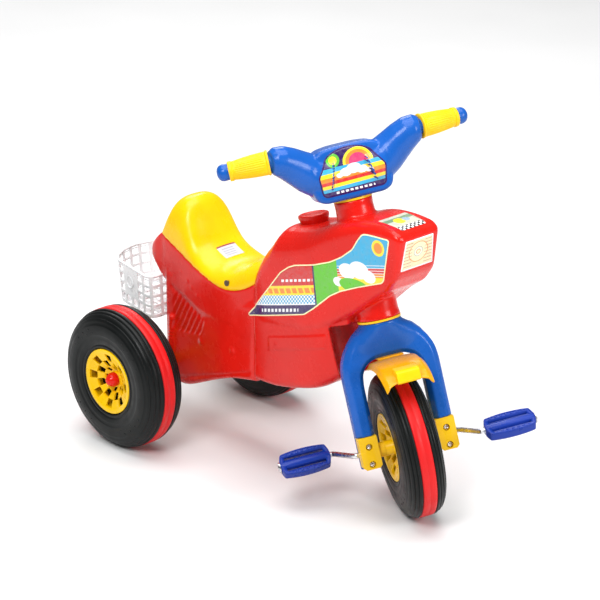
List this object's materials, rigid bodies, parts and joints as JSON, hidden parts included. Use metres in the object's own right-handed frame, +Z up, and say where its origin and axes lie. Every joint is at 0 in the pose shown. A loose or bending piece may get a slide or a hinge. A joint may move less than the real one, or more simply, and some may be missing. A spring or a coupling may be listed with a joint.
{
  "type": "children's tricycle",
  "caption": "Children's ride-on tricycle shaped as a small motorcycle, with a saddle seat, basket, steered fork, cranks and pedals on the front wheel.",
  "frame": {"origin": "on the floor, under the middle of the rear axle, on the tricycle's centre plane", "axes": "+X points forward along the tricycle's length, +Y to the rider's left, +Z up"},
  "size_m": [0.7622, 0.358, 0.5789],
  "materials": {
    "body_red": "gloss blow-moulded polyethylene",
    "seat_yellow": "gloss moulded plastic",
    "label_white": "printed film",
    "steel": "plated steel rod and screws",
    "basket_white": "translucent white injection-moulded plastic",
    "printed_film": "printed gloss film",
    "part_yellow": "gloss injection-moulded plastic",
    "cap_red": "gloss injection-moulded plastic",
    "part_blue": "satin blow-moulded plastic",
    "grip_yellow": "soft ribbed plastic",
    "guard_orange": "gloss injection-moulded plastic",
    "wheel_black": "satin blow-moulded plastic",
    "tread_red": "soft tread band",
    "pedal_blue": "gloss injection-moulded plastic"
  },
  "bodies": {
    "frame": {"body_shell": "body_red", "seat": "seat_yellow", "seat_label": "label_white", "seat_screws": "steel", "basket": "basket_white", "basket_screws": "steel", "side_decal_left": "printed_film", "side_decal_right": "printed_film", "head_decal": "printed_film", "top_decal": "printed_film", "tank_cap": "body_red", "neck_bush_upper": "part_yellow", "neck_bush_lower": "part_yellow", "rear_axle": "steel", "rear_spacers": "part_yellow", "rear_push_nuts": "steel", "rear_axle_caps": "cap_red"},
    "rear_wheel_left": {"rear_tyre_left": "wheel_black", "rear_band_left": "tread_red", "rear_hub_outer_left": "part_yellow", "rear_hub_inner_left": "part_yellow"},
    "rear_wheel_right": {"rear_tyre_right": "wheel_black", "rear_band_right": "tread_red", "rear_hub_outer_right": "part_yellow", "rear_hub_inner_right": "part_yellow"},
    "steering": {"handlebar": "part_blue", "grip_left": "grip_yellow", "grip_right": "grip_yellow", "dash_decal": "printed_film", "steering_column": "steel", "handlebar_screw": "steel", "fork": "part_blue", "mudguard": "guard_orange", "axle_clamp_left": "part_yellow", "axle_clamp_right": "part_yellow", "clamp_screws": "steel"},
    "front_wheel": {"front_tyre": "wheel_black", "front_band": "tread_red", "front_hub_left": "part_yellow", "front_hub_right": "part_yellow", "front_spacers": "part_yellow", "crank_axle": "steel", "pedal_push_nuts": "steel"},
    "pedal_left": {"pedal_left": "pedal_blue"},
    "pedal_right": {"pedal_right": "pedal_blue"}
  },
  "joints": [
    {"name": "steer", "type": "hinge", "parent": "frame", "child": "steering", "pos_m": [0.47, 0, 0.1103], "axis": [-0.319, 0, 0.9478], "range_deg": [-16, 74]},
    {"name": "front_wheel_spin", "type": "hinge", "parent": "steering", "child": "front_wheel", "pos_m": [0.47, 0, 0.1103], "axis": [0.4595, 0.8746, 0.1546], "continuous": true},
    {"name": "pedal_left_spin", "type": "hinge", "parent": "front_wheel", "child": "pedal_left", "pos_m": [0.58498, 0.09511, 0.149], "axis": [0.4595, 0.8746, 0.1546], "continuous": true},
    {"name": "pedal_right_spin", "type": "hinge", "parent": "front_wheel", "child": "pedal_right", "pos_m": [0.35502, -0.09511, 0.0716], "axis": [0.4595, 0.8746, 0.1546], "continuous": true},
    {"name": "rear_wheel_left_spin", "type": "hinge", "parent": "frame", "child": "rear_wheel_left", "pos_m": [0, 0.143, 0.11], "axis": [0, 1, 0], "continuous": true},
    {"name": "rear_wheel_right_spin", "type": "hinge", "parent": "frame", "child": "rear_wheel_right", "pos_m": [0, -0.143, 0.11], "axis": [0, 1, 0], "continuous": true}
  ]
}
